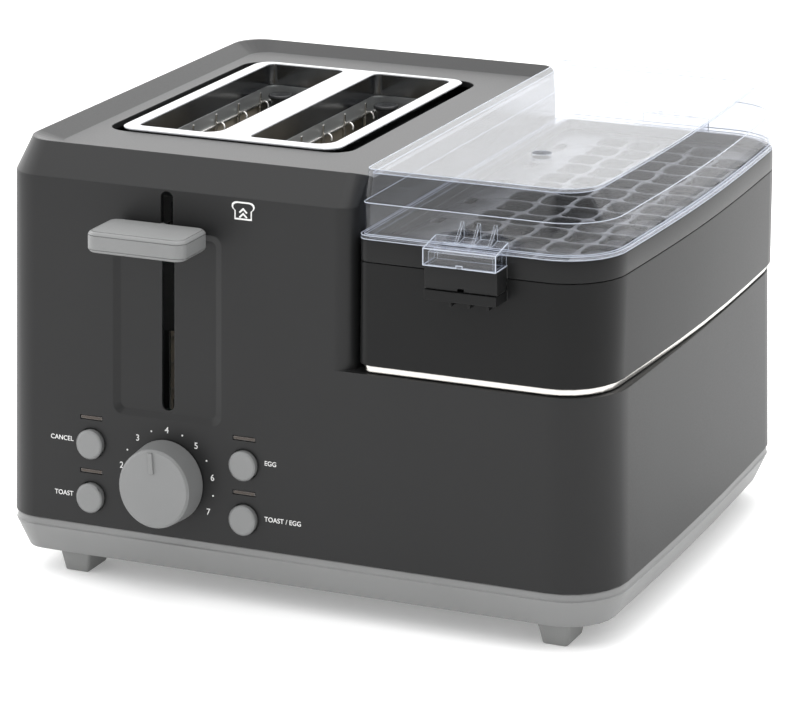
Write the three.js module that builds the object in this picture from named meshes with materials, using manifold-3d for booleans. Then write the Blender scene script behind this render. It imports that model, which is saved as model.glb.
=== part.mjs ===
// Breakfast station: a wide-slot toaster on the left, an egg and muffin steamer on the right.
// Millimetres, +Z up. The pieces are drawn from the front left corner of the housing (x to the
// right, y to the back), and the group at the end moves them so that the origin is at the middle
// of the whole object's footprint.
import * as THREE from "three";
import { mergeVertices } from "three/addons/utils/BufferGeometryUtils.js";
import Module from "manifold-3d";

const wasm = await Module();
wasm.setup();

// ---- Driving dimensions -------------------------------------------------------------------
const WIDTH = 303.5; // left wall to the fullest point of the steamer
const DEPTH = 260; // front face to back face
const GAP = 0.3; // left between pieces that rest on each other
const WALL = 3; // moulded housing wall
const LEFT_CORNER = 16.5; // plan radius of the two left corners
const RIGHT_CORNER = 29; // plan radius of the two right corners
const HOUSING_IN = 2.1; // the housing is this much narrower than the steamer over it
const HOUSING_BOW = 1.7; // how far the housing's right wall bulges between its corners
const HOUSING_LEAN = 3.3; // and how far it comes in towards the back

const FOOT_HEIGHT = 10.5;
const BASE_TAPER = 6.6; // the base pan is this much smaller at its bottom
const BASE_BAND = 3.6; // height of the set-back band under the seam
const SEAM_Z = 27.4; // joint between the base pan and the housing
const HOUSING_Z = 113.5; // top of the steamer side of the housing
const CHAMFER_Z = 186.8; // start of the toaster's front chamfer
const CHAMFER = 13.2;
const TOP_Z = CHAMFER_Z + CHAMFER; // raised rim round the toaster top
const DECK_Z = TOP_Z - 4; // sunk deck inside the rim
const TOASTER_WIDTH = 179;
const TOASTER_CORNER = 9.4; // front right corner of the toaster block

const TOASTER_X = TOASTER_WIDTH / 2 - 4; // middle of the slots, lever and browning dial
const SLOT_WIDTH = 42;
const SLOT_LENGTH = 148.5;
const SLOT_FRONT = 69.6; // y of the front end of the slots
const SLOT_BAR = 17; // bar between the slots
const FRAME_EDGE = 7.2; // bright frame outside the slots, left and right
const FRAME_FRONT = 8.5; // bright frame in front of the slots
const FRAME_BACK = 4;
const FRAME_GAP = 6.4; // dark gap between the frame and the deck, left and right
const FRAME_GAP_ENDS = 1.5;
const FRAME_RISE = 1; // the frame stands this far over the deck

const LEVER_WIDTH = 50.3;
const LEVER_SHIFT = -1.6; // handle to the left of its slot
const LEVER_HEIGHT = 9.6;
const LEVER_REACH = 31; // front of the lever handle, ahead of the housing
const LEVER_Z = 167.4;
const LEVER_SLOT = 6.4;
const LEVER_SLOT_LOW = 84.6;
const LEVER_SLOT_HIGH = 186;
const LEVER_TRAVEL = 70;

const KNOB_RADIUS = 17.9;
const KNOB_FLARE = 0.9; // the knob is this much bigger at its foot
const KNOB_Z = 52.9;
const KNOB_REACH = 14;
const BUTTON_RADIUS = 6.6;
const BUTTON_FIT = 0.45; // round a button in its hole
const BUTTON_LEFT_X = TOASTER_X - 39.2;
const BUTTON_RIGHT_X = TOASTER_X + 39.4;
const BUTTON_ROW_Z = [65.1, 40.3];
const LENS_RISE = 11.9; // lens above its button
const LENS = [11, 1.6];

const VESSEL_CLEAR = 2.5; // between the toaster wall and the steamer
const VESSEL_X0 = TOASTER_WIDTH + VESSEL_CLEAR;
const STEAMER_WIDTH = WIDTH - VESSEL_X0;
const STEAM_X = VESSEL_X0 + STEAMER_WIDTH / 2;
const VESSEL_CORNER = 5; // left corners of the steamer
const VESSEL_BOW = 3; // bulge of the steamer's right wall
const VESSEL_INSET = 0.5; // steamer inside the housing's outline, front and back
const VESSEL_TAPER = 1.5; // steamer is smaller at its bottom
const VESSEL_FLARE = 1.3; // except on the left, where it is bigger
const VESSEL_Z = 117.3; // bottom of the vessel
const TRAY_Z = 164; // joint between vessel and grid tray
const LID_Z = 174; // joint between grid tray and lid
const LID_FLANGE = 2;
const LID_SHOULDER_Z = 190.4;
const LID_TOP_Z = 204.7;
const LID_WALL = 2.2;
const TAB_X = STEAM_X - 5.9;
const TAB_WIDTH = 0.285 * STEAMER_WIDTH;
const TAB_REACH = 13;

// ---- Geometry helpers ---------------------------------------------------------------------
const ARC_STEPS = 6;
const SIDE_STEPS = 6;

// Plan outline, counter-clockwise from the front left corner. The radii run front left, front
// right, back right, back left, and x1 is the fullest point of the right side, which can bulge
// and can lean in towards the back.
function plan(x0, x1, y0, y1, radii, bow = 0, lean = 0) {
  const points = [];
  const out = Array.from({ length: SIDE_STEPS + 1 }, (_, k) =>
    bow * Math.sin(Math.PI * k / SIDE_STEPS) - lean * k / SIDE_STEPS);
  const xr = x1 - Math.max(...out);
  const corners = [
    [x0 + radii[0], y0 + radii[0], radii[0], Math.PI],
    [xr - radii[1], y0 + radii[1], radii[1], 1.5 * Math.PI],
    [xr - lean - radii[2], y1 - radii[2], radii[2], 0],
    [x0 + radii[3], y1 - radii[3], radii[3], 0.5 * Math.PI],
  ];
  corners.forEach(([cx, cy, r, start], i) => {
    for (let k = 0; k <= ARC_STEPS; k++) {
      const a = start + (k / ARC_STEPS) * 0.5 * Math.PI;
      points.push(new THREE.Vector2(cx + r * Math.cos(a), cy + r * Math.sin(a)));
    }
    if (i === 1)
      for (let k = 1; k < SIDE_STEPS; k++) {
        const t = k / SIDE_STEPS;
        const y = y0 + radii[1] + t * (y1 - y0 - radii[1] - radii[2]);
        points.push(new THREE.Vector2(xr + out[k], y));
      }
  });
  return points;
}

// The housing's outline, moved in by the same distance all round.
const housingPlan = (inset) =>
  plan(inset, WIDTH - HOUSING_IN - inset, inset, DEPTH - inset,
    [LEFT_CORNER, RIGHT_CORNER, RIGHT_CORNER, LEFT_CORNER].map((r) => r - inset),
    HOUSING_BOW, HOUSING_LEAN);

// The steamer's outline; left, front with back, and right move in separately.
const steamerPlan = (left, front = left, right = left, corner = RIGHT_CORNER - right,
  small = Math.max(VESSEL_CORNER - left, 1.5)) =>
  plan(VESSEL_X0 + left, WIDTH - right, VESSEL_INSET + front,
    DEPTH - VESSEL_INSET - front, [small, corner, corner, small], VESSEL_BOW);

// A stack of outlines with the same number of points, each at its own height.
function stack(layers) {
  const base = layers[0][0];
  const geometry = new THREE.ExtrudeGeometry(new THREE.Shape(base), {
    depth: layers.length - 1,
    steps: layers.length - 1,
    bevelEnabled: false,
  });
  const position = geometry.getAttribute("position");
  for (let i = 0; i < position.count; i++) {
    const layer = layers[Math.round(position.getZ(i))];
    const x = position.getX(i);
    const y = position.getY(i);
    let best = 0;
    base.forEach((p, k) => {
      if (Math.hypot(p.x - x, p.y - y) < Math.hypot(base[best].x - x, base[best].y - y)) best = k;
    });
    position.setXYZ(i, layer[0][best].x, layer[0][best].y, layer[1]);
  }
  return geometry;
}

const prism = (points, z0, z1) => stack([[points, z0], [points, z1]]);

const block = (x0, x1, y0, y1, z0, z1) =>
  new THREE.BoxGeometry(x1 - x0, y1 - y0, z1 - z0)
    .translate((x0 + x1) / 2, (y0 + y1) / 2, (z0 + z1) / 2);

const upright = (x, y, z0, z1, radius, sides = 24) =>
  new THREE.CylinderGeometry(radius, radius, z1 - z0, sides)
    .rotateX(Math.PI / 2).translate(x, y, (z0 + z1) / 2);

const forward = (x, z, y0, y1, radius, back = radius, sides = 32) =>
  new THREE.CylinderGeometry(back, radius, y1 - y0, sides).translate(x, (y0 + y1) / 2, z);

const rounded = (x0, x1, y0, y1, r) => plan(x0, x1, y0, y1, [r, r, r, r]);

// A plate in the XZ plane from a list of [x, z] corners, between two y values.
function standing(corners, y0, y1) {
  const shape = new THREE.Shape(corners.map(([x, z]) => new THREE.Vector2(x, z)));
  return new THREE.ExtrudeGeometry(shape, { depth: y1 - y0, bevelEnabled: false })
    .rotateX(Math.PI / 2).translate(0, y1, 0);
}

// A small web in the YZ plane from a list of [y, z] corners, between two x values.
function web(corners, x0, x1) {
  const shape = new THREE.Shape(corners.map(([y, z]) => new THREE.Vector2(y, z)));
  return new THREE.ExtrudeGeometry(shape, { depth: x1 - x0, bevelEnabled: false })
    .rotateX(Math.PI / 2).rotateZ(Math.PI / 2).translate(x0, 0, 0);
}

function solid(piece) {
  if (!piece.isBufferGeometry) return piece;
  const bare = piece.clone();
  bare.deleteAttribute("normal");
  bare.deleteAttribute("uv");
  const merged = mergeVertices(bare, 1e-4);
  return new wasm.Manifold(new wasm.Mesh({
    numProp: 3,
    vertProperties: merged.getAttribute("position").array,
    triVerts: new Uint32Array(merged.index.array),
  }));
}

const join = (...geometries) => geometries.map(solid).reduce((a, b) => a.add(b));

const less = (body, ...geometries) => geometries.reduce((a, g) => a.subtract(solid(g)), body);

function surface(body) {
  const { vertProperties, triVerts } = body.getMesh();
  const geometry = new THREE.BufferGeometry();
  geometry.setAttribute("position", new THREE.BufferAttribute(vertProperties, 3));
  geometry.setIndex(new THREE.BufferAttribute(triVerts, 1));
  const flat = geometry.toNonIndexed();
  flat.computeVertexNormals();
  return flat;
}

// ---- Materials ----------------------------------------------------------------------------
const look = (color, roughness, metalness = 0, extra = {}) => () =>
  new THREE.MeshStandardMaterial({ color, roughness, metalness, ...extra });
const charcoal = look(0x3a3b3c, 0.55);
const grey = look(0x8e8f8f, 0.5);
const bright = look(0xd9dadb, 0.22, 1);
const zinc = look(0x8d8f8e, 0.45, 1);
const steel = look(0xb9bbbc, 0.3, 1);
const mica = look(0x8c7a5c, 0.7);
const clear = look(0xe6ebf2, 0.08, 0, { transparent: true, opacity: 0.35 });
const lens = look(0x4a3f34, 0.25);
const rubber = look(0x6f7171, 0.8);
const board = look(0x2f5a3a, 0.6);
const dark = look(0x1c1c1d, 0.6);
const alloy = look(0xa9abab, 0.5, 1);

const appliance = new THREE.Group();
appliance.position.set(-WIDTH / 2, -(DEPTH + TAB_REACH - LEVER_REACH) / 2, 0);

function add(name, piece, material) {
  const geometry = piece.isBufferGeometry ? piece : surface(piece);
  const mesh = new THREE.Mesh(geometry, material());
  mesh.name = name;
  appliance.add(mesh);
}

// ---- Base pan, feet and screws ------------------------------------------------------------
const RAIL_TOP = 30.2; // rails in the base pan that carry the crumb tray
const FLOOR_Z = FOOT_HEIGHT + WALL;
const BAND_Z = SEAM_Z - BASE_BAND;
const BAND_INSET = 0.8;
const FOOT_X = [32, WIDTH - 31.5];
const FOOT_Y = [22, DEPTH - 22];
const SCREW_RADIUS = 3.6;
const SCREW_X = [TOASTER_X - 13.5, STEAM_X + 3.5];
const SCREW_Y = [22, DEPTH - 22];
const SLOT_AXES = [-1, 1].map((side) => TOASTER_X + side * (SLOT_BAR + SLOT_WIDTH) / 2);

const pan = stack([
  [housingPlan(BASE_TAPER), FOOT_HEIGHT],
  [housingPlan(0), BAND_Z],
  [housingPlan(BAND_INSET), BAND_Z],
  [housingPlan(BAND_INSET), SEAM_Z - GAP],
]);
const panHollow = stack([
  [housingPlan(BASE_TAPER + WALL), FLOOR_Z],
  [housingPlan(BAND_INSET + WALL), SEAM_Z + 1],
]);
const rails = SLOT_AXES.map((x) => block(x - 2, x + 2, 64, DEPTH - 12, FLOOR_Z - 1, RAIL_TOP));
const screwHoles = SCREW_X.flatMap((x) =>
  SCREW_Y.map((y) => upright(x, y, FOOT_HEIGHT - 1, FLOOR_Z + 1, SCREW_RADIUS + GAP, 20)));
const floorVents = [0, 1, 2, 3, 4].map((k) =>
  block(STEAM_X - 30 + 12 * k, STEAM_X - 25 + 12 * k, DEPTH / 2 - 30, DEPTH / 2 + 30,
    FOOT_HEIGHT - 1, FLOOR_Z + 1));
add("base_pan", less(less(solid(pan), panHollow).add(join(...rails)), ...screwHoles,
  ...floorVents), grey);

FOOT_Y.forEach((y, row) => FOOT_X.forEach((x, side) => {
  const foot = stack([
    [rounded(x - 6, x + 6, y - 9.5, y + 9.5, 1.5), 0],
    [rounded(x - 8, x + 8, y - 11.5, y + 11.5, 1.5), FOOT_HEIGHT - GAP],
  ]);
  add(`foot_${row ? "rear" : "front"}_${side ? "right" : "left"}`, foot, rubber);
}));

SCREW_Y.forEach((y, row) => SCREW_X.forEach((x, side) =>
  add(`base_screw_${row ? "rear" : "front"}_${side ? "right" : "left"}`,
    join(upright(x, y, FOOT_HEIGHT + 0.4, FOOT_HEIGHT + 2.2, SCREW_RADIUS, 16),
      upright(x, y, FOOT_HEIGHT + 2, FLOOR_Z + 9, 1.6, 10)), steel)));

// ---- Housing ------------------------------------------------------------------------------
const toasterPlan = (left, front, back, right = 0) =>
  plan(left, TOASTER_WIDTH - right, front, DEPTH - back,
    [LEFT_CORNER - left, TOASTER_CORNER - right, TOASTER_CORNER - right, LEFT_CORNER - left]);
const RIM_INSET = 2.3;
const DECK_INSET = 14;
const inner = WALL * Math.SQRT2; // the chamfer's wall, measured level

const shellOuter = join(
  prism(housingPlan(0), SEAM_Z, HOUSING_Z),
  stack([
    [toasterPlan(0, 0, 0), SEAM_Z],
    [toasterPlan(0, 0, 0), CHAMFER_Z],
    [toasterPlan(RIM_INSET, CHAMFER, RIM_INSET), TOP_Z],
  ]));
const rimCut = stack([
  [rounded(DECK_INSET, TOASTER_WIDTH + 20, CHAMFER + 12, DEPTH - DECK_INSET, 10), DECK_Z],
  [rounded(RIM_INSET + 0.4, TOASTER_WIDTH + 30, CHAMFER + 0.4, DEPTH - RIM_INSET - 0.4, 17), TOP_Z + 0.02],
]);
const ceiling = DECK_Z - WALL;
const shellHollow = join(
  prism(housingPlan(WALL), SEAM_Z - 1, HOUSING_Z - WALL),
  stack([
    [toasterPlan(WALL, WALL, WALL, WALL), SEAM_Z - 1],
    [toasterPlan(WALL, WALL, WALL, WALL), CHAMFER_Z + WALL - inner],
    [toasterPlan(WALL + 1, ceiling - CHAMFER_Z + inner, WALL + 1, WALL), ceiling],
  ]));

const FRAME_X = [TOASTER_X - SLOT_BAR / 2 - SLOT_WIDTH - FRAME_EDGE,
  TOASTER_X + SLOT_BAR / 2 + SLOT_WIDTH + FRAME_EDGE];
const FRAME_Y = [SLOT_FRONT - FRAME_FRONT, SLOT_FRONT + SLOT_LENGTH + FRAME_BACK];
const deckHole = prism(rounded(FRAME_X[0] - FRAME_GAP, FRAME_X[1] + FRAME_GAP,
  FRAME_Y[0] - FRAME_GAP_ENDS, FRAME_Y[1] + FRAME_GAP_ENDS, 11), ceiling - 2, TOP_Z + 1);

// The lever runs in a slot in a shallow sunk panel on the front.
const PANEL_HALF = 28;
const PANEL_SINK = 1.4;
const PANEL_Z = [80.6, 168];
const panelCut = stack([
  [rounded(TOASTER_X - PANEL_HALF + 3.5, TOASTER_X + PANEL_HALF - 3.5,
    PANEL_Z[0] + 3, PANEL_Z[1] - 3, 3), -PANEL_SINK],
  [rounded(TOASTER_X - PANEL_HALF, TOASTER_X + PANEL_HALF, PANEL_Z[0], PANEL_Z[1], 5), 0.02],
]).rotateX(Math.PI / 2);
const leverSlot = standing(
  rounded(TOASTER_X - LEVER_SLOT / 2, TOASTER_X + LEVER_SLOT / 2, LEVER_SLOT_LOW, LEVER_SLOT_HIGH,
    LEVER_SLOT / 2 - 0.01).map((p) => [p.x, p.y]), -1, WALL + 2);

const BUTTONS = [
  ["cancel", BUTTON_LEFT_X, BUTTON_ROW_Z[0]],
  ["toast", BUTTON_LEFT_X, BUTTON_ROW_Z[1]],
  ["egg", BUTTON_RIGHT_X, BUTTON_ROW_Z[0]],
  ["toast_egg", BUTTON_RIGHT_X, BUTTON_ROW_Z[1]],
];
const buttonHoles = BUTTONS.map(([, x, z]) =>
  forward(x, z, -1, WALL + 1, BUTTON_RADIUS + BUTTON_FIT, BUTTON_RADIUS + BUTTON_FIT, 28));
const lensHoles = BUTTONS.map(([, x, z]) =>
  block(x - LENS[0] / 2 - GAP, x + LENS[0] / 2 + GAP, -1, WALL + 1,
    z + LENS_RISE - LENS[1] / 2 - GAP, z + LENS_RISE + LENS[1] / 2 + GAP));
const SHAFT_RADIUS = 3;
const shaftHole = forward(TOASTER_X, KNOB_Z, -1, WALL + 1, SHAFT_RADIUS + 0.5, SHAFT_RADIUS + 0.5, 20);

// Basin of the heating plate, let into the top of the steamer side.
const BASIN_SIDE = 20; // basin in from the steamer's left and right
const BASIN = steamerPlan(BASIN_SIDE, 24, BASIN_SIDE, 22, 14);
const basinHole = prism(steamerPlan(BASIN_SIDE - 1, 23, BASIN_SIDE - 1, 23, 15), HOUSING_Z - WALL - 1, HOUSING_Z + 1);

const TRAY_HALF = 52; // half the crumb tray's width
const TRAY_Z0 = RAIL_TOP + GAP;
const TRAY_DEEP = 4.5;
const trayMouth = block(TOASTER_X - TRAY_HALF - 0.8, TOASTER_X + TRAY_HALF + 0.8, DEPTH - WALL - 1,
  DEPTH + 1, TRAY_Z0 - 0.6, TRAY_Z0 + TRAY_DEEP + 0.6);
const GLAND = [STEAM_X + 9, 46]; // x and z of the mains lead's gland in the back wall
const GLAND_RADIUS = 5.6;
const glandHole = forward(GLAND[0], GLAND[1], DEPTH - WALL - 1, DEPTH + 1,
  GLAND_RADIUS + GAP, GLAND_RADIUS + GAP, 20);

add("body_shell", less(less(shellOuter, shellHollow), rimCut, deckHole, panelCut, leverSlot,
  ...buttonHoles, ...lensHoles, shaftHole, basinHole, trayMouth, glandHole), charcoal);

add("cord_gland", less(join(
  forward(GLAND[0], GLAND[1], DEPTH - WALL - 4, DEPTH + GAP + 0.5, GLAND_RADIUS, GLAND_RADIUS, 20),
  forward(GLAND[0], GLAND[1], DEPTH + GAP, DEPTH + GAP + 3.5, 9, 7.5, 24)),
  forward(GLAND[0], GLAND[1], DEPTH - WALL - 6, DEPTH + 8, 3.4, 3.4, 16)), dark);

// ---- Bright frame round the slots ---------------------------------------------------------
const FRAME_TOP = DECK_Z + FRAME_RISE;
const slotPlans = SLOT_AXES.map((x) => (grow) =>
  plan(x - SLOT_WIDTH / 2 - grow, x + SLOT_WIDTH / 2 + grow, SLOT_FRONT - grow,
    SLOT_FRONT + SLOT_LENGTH + grow, [3 + grow, 9 + grow, 4 + grow, 4 + grow]));
const FRAME_SHEET = 1.6;
const LIP_Z = 186;
const framePlate = join(
  prism(rounded(FRAME_X[0], FRAME_X[1], FRAME_Y[0], FRAME_Y[1], 9), FRAME_TOP - FRAME_SHEET, FRAME_TOP),
  ...slotPlans.map((slot) => prism(slot(1.2), LIP_Z, FRAME_TOP - 1)));
add("slot_frame", less(framePlate, ...slotPlans.map((slot) => prism(slot(0), LIP_Z - 1, FRAME_TOP + 1))),
  bright);

// ---- Toasting chamber ---------------------------------------------------------------------
const CHAMBER_X = [FRAME_X[0] + 1, FRAME_X[1] - 1];
const CHAMBER_Y = [SLOT_FRONT - 3, SLOT_FRONT + SLOT_LENGTH + 1.5];
const CHAMBER_Z = [TRAY_Z0 + TRAY_DEEP + 1.2, LIP_Z - GAP];
const PLATE = 1.2;
const RACK_Z = 114; // top of the bread racks with the lever up
const RACK_HIGH = 6;
const legs = [
  [CHAMBER_X[0], FLOOR_Z + GAP], [CHAMBER_X[0] + 4, FLOOR_Z + GAP],
  [CHAMBER_X[0] + 4, CHAMBER_Z[0]], [CHAMBER_X[1] - 4, CHAMBER_Z[0]],
  [CHAMBER_X[1] - 4, FLOOR_Z + GAP], [CHAMBER_X[1], FLOOR_Z + GAP],
  [CHAMBER_X[1], CHAMBER_Z[1]], [CHAMBER_X[0], CHAMBER_Z[1]],
];
const rackSlots = SLOT_AXES.map((x) => block(x - 2.4, x + 2.4, CHAMBER_Y[0] - 3, CHAMBER_Y[0] + 3,
  RACK_Z - RACK_HIGH - LEVER_TRAVEL - 2.5, RACK_Z + 2));
add("end_plate_front", less(solid(standing(legs, CHAMBER_Y[0] - PLATE, CHAMBER_Y[0])), ...rackSlots), zinc);
add("end_plate_rear", standing(legs, CHAMBER_Y[1], CHAMBER_Y[1] + PLATE), zinc);
[["left", CHAMBER_X[0]], ["right", CHAMBER_X[1] - PLATE]].forEach(([side, x]) =>
  add(`side_plate_${side}`, block(x, x + PLATE, CHAMBER_Y[0] + GAP, CHAMBER_Y[1] - GAP,
    CHAMBER_Z[0], CHAMBER_Z[1]), zinc));

const MICA = 1;
const MICA_Z = [CHAMBER_Z[0] + 6, CHAMBER_Z[1] - 8];
const GUARD_WIRE = 1.6;
[["left", CHAMBER_X[0] + 2.6], ["middle", TOASTER_X - MICA / 2],
  ["right", CHAMBER_X[1] - 2.6 - MICA]].forEach(([side, x]) =>
  add(`heater_board_${side}`, block(x, x + MICA, CHAMBER_Y[0] + GAP, CHAMBER_Y[1] - GAP,
    MICA_Z[0], MICA_Z[1]), mica));

// Wire guards keep the bread off the heaters, one each side of each slot.
SLOT_AXES.forEach((axis, slot) => [-1, 1].forEach((side) => {
  const place = (side < 0) === (slot === 0) ? "outer" : "inner";
  const x = axis + side * (SLOT_WIDTH / 2 + 1.2) - GUARD_WIRE / 2;
  const bars = [CHAMBER_Z[0] + 3, 0.62 * CHAMBER_Z[1]].map((z) =>
    block(x, x + GUARD_WIRE, CHAMBER_Y[0] + GAP, CHAMBER_Y[1] - GAP, z, z + GUARD_WIRE));
  const wires = [0, 1, 2, 3, 4, 5].map((k) => {
    const y = CHAMBER_Y[0] + 12 + k * (CHAMBER_Y[1] - CHAMBER_Y[0] - 24) / 5;
    return block(x, x + GUARD_WIRE, y - GUARD_WIRE / 2, y + GUARD_WIRE / 2,
      CHAMBER_Z[0] + 1, LIP_Z - 2);
  });
  add(`bread_guard_${slot ? "right" : "left"}_${place}`, join(...bars, ...wires), steel);
}));

// ---- Lever and bread carriage -------------------------------------------------------------
const ARM = 2.2;
const ARM_HIGH = 7;
const BRACKET_Y = [36, 50];
const BRACKET_Z = [LEVER_Z - 16, LEVER_Z + 4];
const ROD_X = TOASTER_X + 25;
const ROD_Y = 43;
const ROD_RADIUS = 3;
const SPRING_X = TOASTER_X - 9;
const LEVER_X = TOASTER_X + LEVER_SHIFT;
const leverHandle = new THREE.ExtrudeGeometry(
  new THREE.Shape(rounded(LEVER_X - LEVER_WIDTH / 2 + 1.5, LEVER_X + LEVER_WIDTH / 2 - 1.5,
    -LEVER_REACH + 1.5, -4.5, 4)),
  { depth: LEVER_HEIGHT - 3, bevelThickness: 1.5, bevelSize: 1.5, bevelSegments: 2 })
  .translate(0, 0, LEVER_Z - LEVER_HEIGHT / 2 + 1.5);
const armPocket = block(TOASTER_X - ARM / 2 - GAP, TOASTER_X + ARM / 2 + GAP, -17, 0,
  LEVER_Z - ARM_HIGH / 2 - GAP, LEVER_Z + ARM_HIGH / 2 + GAP);
add("lever_handle", less(solid(leverHandle), armPocket), grey);
add("lever_arm", block(TOASTER_X - ARM / 2, TOASTER_X + ARM / 2, -16, BRACKET_Y[0] - GAP,
  LEVER_Z - ARM_HIGH / 2, LEVER_Z + ARM_HIGH / 2), steel);
add("carriage_bracket", less(solid(block(TOASTER_X - 16, ROD_X + 6, ...BRACKET_Y, ...BRACKET_Z)),
  upright(ROD_X, ROD_Y, BRACKET_Z[0] - 1, BRACKET_Z[1] + 1, ROD_RADIUS + 0.35, 20)), dark);
add("carriage_beam", block(SLOT_AXES[0] - 6, SLOT_AXES[1] + 6, BRACKET_Y[1] + GAP,
  BRACKET_Y[1] + GAP + 2, RACK_Z - RACK_HIGH - 2, BRACKET_Z[1] - 2), zinc);
SLOT_AXES.forEach((x, slot) => {
  const spine = block(x - 1.2, x + 1.2, BRACKET_Y[1] + 2 * GAP + 2, CHAMBER_Y[1] - 6,
    RACK_Z - RACK_HIGH, RACK_Z);
  const rungs = [0, 1, 2, 3, 4, 5].map((k) => {
    const y = CHAMBER_Y[0] + 14 + k * (CHAMBER_Y[1] - CHAMBER_Y[0] - 28) / 5;
    return block(x - 13, x + 13, y - 1.2, y + 1.2, RACK_Z - 2.4, RACK_Z);
  });
  add(`bread_rack_${slot ? "right" : "left"}`, join(spine, ...rungs), steel);
});
add("guide_rod", upright(ROD_X, ROD_Y, FLOOR_Z + GAP, ceiling - GAP, ROD_RADIUS, 20), steel);

// A coil spring hangs from under the deck and draws the carriage up.
const SPRING_Z = [BRACKET_Z[1] + GAP + 0.6, ceiling - GAP - 0.6];
class Coil extends THREE.Curve {
  getPoint(t, target = new THREE.Vector3()) {
    const a = 2 * Math.PI * 7 * t;
    return target.set(SPRING_X + 4 * Math.cos(a), ROD_Y + 4 * Math.sin(a),
      SPRING_Z[0] + t * (SPRING_Z[1] - SPRING_Z[0]));
  }
}
const wireSection = new THREE.Shape(
  [0, 1, 2, 3, 4, 5].map((k) => new THREE.Vector2(0.6 * Math.cos(k * Math.PI / 3),
    0.6 * Math.sin(k * Math.PI / 3))));
add("carriage_spring", new THREE.ExtrudeGeometry(wireSection,
  { steps: 70, extrudePath: new Coil() }), steel);

const MAGNET_TOP = BRACKET_Z[0] - LEVER_TRAVEL - 0.6;
add("latch_magnet", block(TOASTER_X - 12, TOASTER_X + 12, BRACKET_Y[0] - 6, BRACKET_Y[1] - 2,
  FLOOR_Z + GAP, MAGNET_TOP), dark);

// ---- Controls -----------------------------------------------------------------------------
const BOARD_Y = 13;
add("control_board", less(solid(block(BUTTON_LEFT_X - 12, BUTTON_RIGHT_X + 12, BOARD_Y, BOARD_Y + 1.6,
  BUTTON_ROW_Z[1] - 9, BUTTON_ROW_Z[0] + 16)),
  forward(TOASTER_X, KNOB_Z, BOARD_Y - 1, BOARD_Y + 3, SHAFT_RADIUS + 0.6, SHAFT_RADIUS + 0.6, 20)), board);
add("browning_control", less(solid(block(TOASTER_X - 9, TOASTER_X + 9, BOARD_Y + 1.6 + GAP,
  BOARD_Y + 11, KNOB_Z - 9, KNOB_Z + 9)),
  forward(TOASTER_X, KNOB_Z, BOARD_Y, BOARD_Y + 9, SHAFT_RADIUS + 0.4, SHAFT_RADIUS + 0.4, 20)), dark);
const POINTER_LEAN = 0.09; // the pointer rests a little left of the top
const pointer = block(-1.1, 1.1, -KNOB_REACH - 0.9, -KNOB_REACH + 1, 7.2, KNOB_RADIUS - 1.2)
  .rotateY(-POINTER_LEAN).translate(TOASTER_X, 0, KNOB_Z);
const knobBody = join(
  forward(TOASTER_X, KNOB_Z, -KNOB_REACH, -KNOB_REACH + 1.2, KNOB_RADIUS - 1, KNOB_RADIUS, 48),
  forward(TOASTER_X, KNOB_Z, -KNOB_REACH + 1, -GAP - 0.4, KNOB_RADIUS, KNOB_RADIUS + KNOB_FLARE, 48),
  pointer);
add("browning_knob", less(knobBody,
  forward(TOASTER_X, KNOB_Z, -9, 1, SHAFT_RADIUS + GAP, SHAFT_RADIUS + GAP, 20)), grey);
add("knob_shaft", forward(TOASTER_X, KNOB_Z, -8.6, BOARD_Y + 8, SHAFT_RADIUS, SHAFT_RADIUS, 20), steel);
BUTTONS.forEach(([name, x, z]) => {
  add(`button_${name}`, join(
    forward(x, z, -2.6, -1.9, BUTTON_RADIUS - 0.7, BUTTON_RADIUS, 28),
    forward(x, z, -2, 6, BUTTON_RADIUS, BUTTON_RADIUS, 28),
    forward(x, z, 5.5, BOARD_Y - 2.4, 2.5, 2.5, 16)), grey);
  add(`lens_${name}`, block(x - LENS[0] / 2, x + LENS[0] / 2, 0.2, WALL,
    z + LENS_RISE - LENS[1] / 2, z + LENS_RISE + LENS[1] / 2), lens);
});

// ---- Crumb tray ---------------------------------------------------------------------------
const CRUMB_Y0 = 60;
const crumbPan = less(solid(block(TOASTER_X - TRAY_HALF, TOASTER_X + TRAY_HALF, CRUMB_Y0,
  DEPTH + GAP + 1, TRAY_Z0, TRAY_Z0 + TRAY_DEEP)),
  block(TOASTER_X - TRAY_HALF + 1, TOASTER_X + TRAY_HALF - 1, CRUMB_Y0 + 1, DEPTH - 2,
    TRAY_Z0 + 1, TRAY_Z0 + TRAY_DEEP + 1));
const crumbLip = block(TOASTER_X - TRAY_HALF - 3, TOASTER_X + TRAY_HALF + 3, DEPTH + GAP,
  DEPTH + GAP + 3, TRAY_Z0 - 2.5, TRAY_Z0 + 9);
add("crumb_tray", crumbPan.add(solid(crumbLip)), zinc);

// ---- Heating plate ------------------------------------------------------------------------
const PLATE_TOP = VESSEL_Z - GAP;
const BASIN_Z = 102;
const plateSheet = join(
  prism(steamerPlan(1.2, VESSEL_TAPER + 0.6, 3.5), HOUSING_Z + GAP, PLATE_TOP),
  prism(BASIN, BASIN_Z, PLATE_TOP));
const plateUnder = less(
  solid(prism(steamerPlan(2.4, VESSEL_TAPER + 1.8, 4.7), HOUSING_Z, PLATE_TOP - 1.2)),
  prism(BASIN, BASIN_Z - 1, PLATE_TOP));
const basinHollow = prism(steamerPlan(BASIN_SIDE + 1.2, 25.2, BASIN_SIDE + 1.2, 21, 13), BASIN_Z + 1.2, PLATE_TOP + 1);
add("heating_plate", less(plateSheet.subtract(plateUnder), basinHollow), bright);
const RING_MARGIN = 2; // basin floor left outside the heater ring
const RING_WIDTH = 9;
const RING_OUT = STEAMER_WIDTH / 2 - BASIN_SIDE - RING_MARGIN;
const RING_IN = RING_OUT - RING_WIDTH;
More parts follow.
